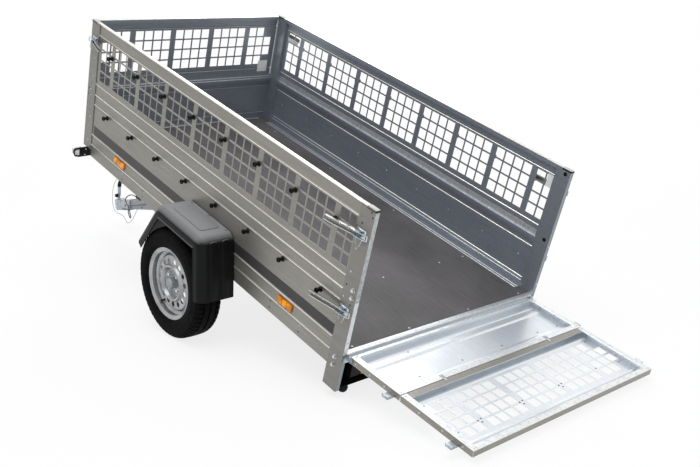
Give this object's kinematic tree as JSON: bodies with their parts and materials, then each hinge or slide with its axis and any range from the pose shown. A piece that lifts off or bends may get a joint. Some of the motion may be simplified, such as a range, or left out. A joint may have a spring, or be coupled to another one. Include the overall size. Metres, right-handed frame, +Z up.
{
  "type": "utility trailer",
  "caption": "Single-axle tipping utility trailer with galvanised boards, mesh extension sides, plywood floor, open tailgate ramp and a hinged drawbar with ball coupling.",
  "frame": {"origin": "on the ground below the middle of the trailer, at the centre of its bounding box's base without the cords", "axes": "+Z up, +Y towards the drawbar's coupling (forwards), +X to the trailer's right"},
  "size_m": [1.67, 3.9264, 1.4954],
  "materials": {
    "galvanised_steel": "hot-dip galvanised sheet, satin",
    "zinc_plated_steel": "zinc-plated, bright",
    "film_faced_plywood": "phenolic film, satin",
    "black_painted_steel": "powder-coated, satin",
    "black_plastic": "moulded, matt",
    "black_rubber": "matt",
    "tyre_rubber": "matt",
    "silver_wheel": "silver paint, satin",
    "lamp_lens": "moulded lens, gloss"
  },
  "bodies": {
    "bed": {"floor": "film_faced_plywood", "rear_sill": "galvanised_steel", "floor_rail_left": "galvanised_steel", "floor_rail_right": "galvanised_steel", "post_rear_left": "galvanised_steel", "post_rear_right": "galvanised_steel", "post_front_left": "galvanised_steel", "post_front_right": "galvanised_steel", "side_board_left": "galvanised_steel", "side_board_right": "galvanised_steel", "side_mesh_left": "galvanised_steel", "side_mesh_right": "galvanised_steel", "front_board": "galvanised_steel", "crossmember_rear": "galvanised_steel", "crossmember_axle": "galvanised_steel", "crossmember_pivot": "galvanised_steel", "crossmember_front": "galvanised_steel", "axle_rail_left": "galvanised_steel", "axle_rail_right": "galvanised_steel", "axle_beam": "galvanised_steel", "trailing_arm_left": "galvanised_steel", "trailing_arm_right": "galvanised_steel", "fender_left": "black_plastic", "fender_right": "black_plastic", "lamp_board": "black_painted_steel", "rear_lamp_left": "lamp_lens", "rear_lamp_right": "lamp_lens", "buffer_left": "black_rubber", "buffer_right": "black_rubber", "marker_holder_left": "black_plastic", "marker_holder_right": "black_plastic", "gate_hinge_left": "zinc_plated_steel", "gate_hinge_right": "zinc_plated_steel", "front_hinge_left": "zinc_plated_steel", "front_hinge_right": "zinc_plated_steel", "latch_rear_upper_left": "zinc_plated_steel", "latch_rear_upper_right": "zinc_plated_steel", "latch_rear_lower_left": "zinc_plated_steel", "latch_rear_lower_right": "zinc_plated_steel", "latch_front_upper_left": "zinc_plated_steel", "latch_front_upper_right": "zinc_plated_steel"},
    "wheel_left": {"hub_left": "zinc_plated_steel", "rim_left": "silver_wheel", "tyre_left": "tyre_rubber"},
    "wheel_right": {"hub_right": "zinc_plated_steel", "rim_right": "silver_wheel", "tyre_right": "tyre_rubber"},
    "tailgate": {"tailgate_board": "galvanised_steel", "tailgate_mesh": "galvanised_steel"},
    "front_mesh_tier": {"front_mesh": "galvanised_steel"},
    "drawbar": {"drawbar_tube": "galvanised_steel", "coupling_head": "zinc_plated_steel", "coupling_handle": "zinc_plated_steel", "electric_cable": "black_rubber", "safety_cable": "zinc_plated_steel", "plug": "black_plastic"}
  },
  "joints": [
    {"name": "wheel_left_spin", "type": "hinge", "parent": "bed", "child": "wheel_left", "pos_m": [-0.753, -0.10748, 0.28], "axis": [1, 0, 0], "continuous": true},
    {"name": "wheel_right_spin", "type": "hinge", "parent": "bed", "child": "wheel_right", "pos_m": [0.753, -0.10748, 0.28], "axis": [1, 0, 0], "continuous": true},
    {"name": "tailgate_hinge", "type": "hinge", "parent": "bed", "child": "tailgate", "pos_m": [0, -1.22783, 0.18907], "axis": [-1, 0, 0], "range_deg": [0, 87.1]},
    {"name": "front_mesh_hinge", "type": "hinge", "parent": "bed", "child": "front_mesh_tier", "pos_m": [0, 0.99289, 1.11574], "axis": [-1, 0, 0], "range_deg": [0, 90]},
    {"name": "drawbar_hinge", "type": "hinge", "parent": "bed", "child": "drawbar", "pos_m": [0, 0.16294, 0.48611], "axis": [1, 0, 0], "range_deg": [0, 25.4]}
  ]
}
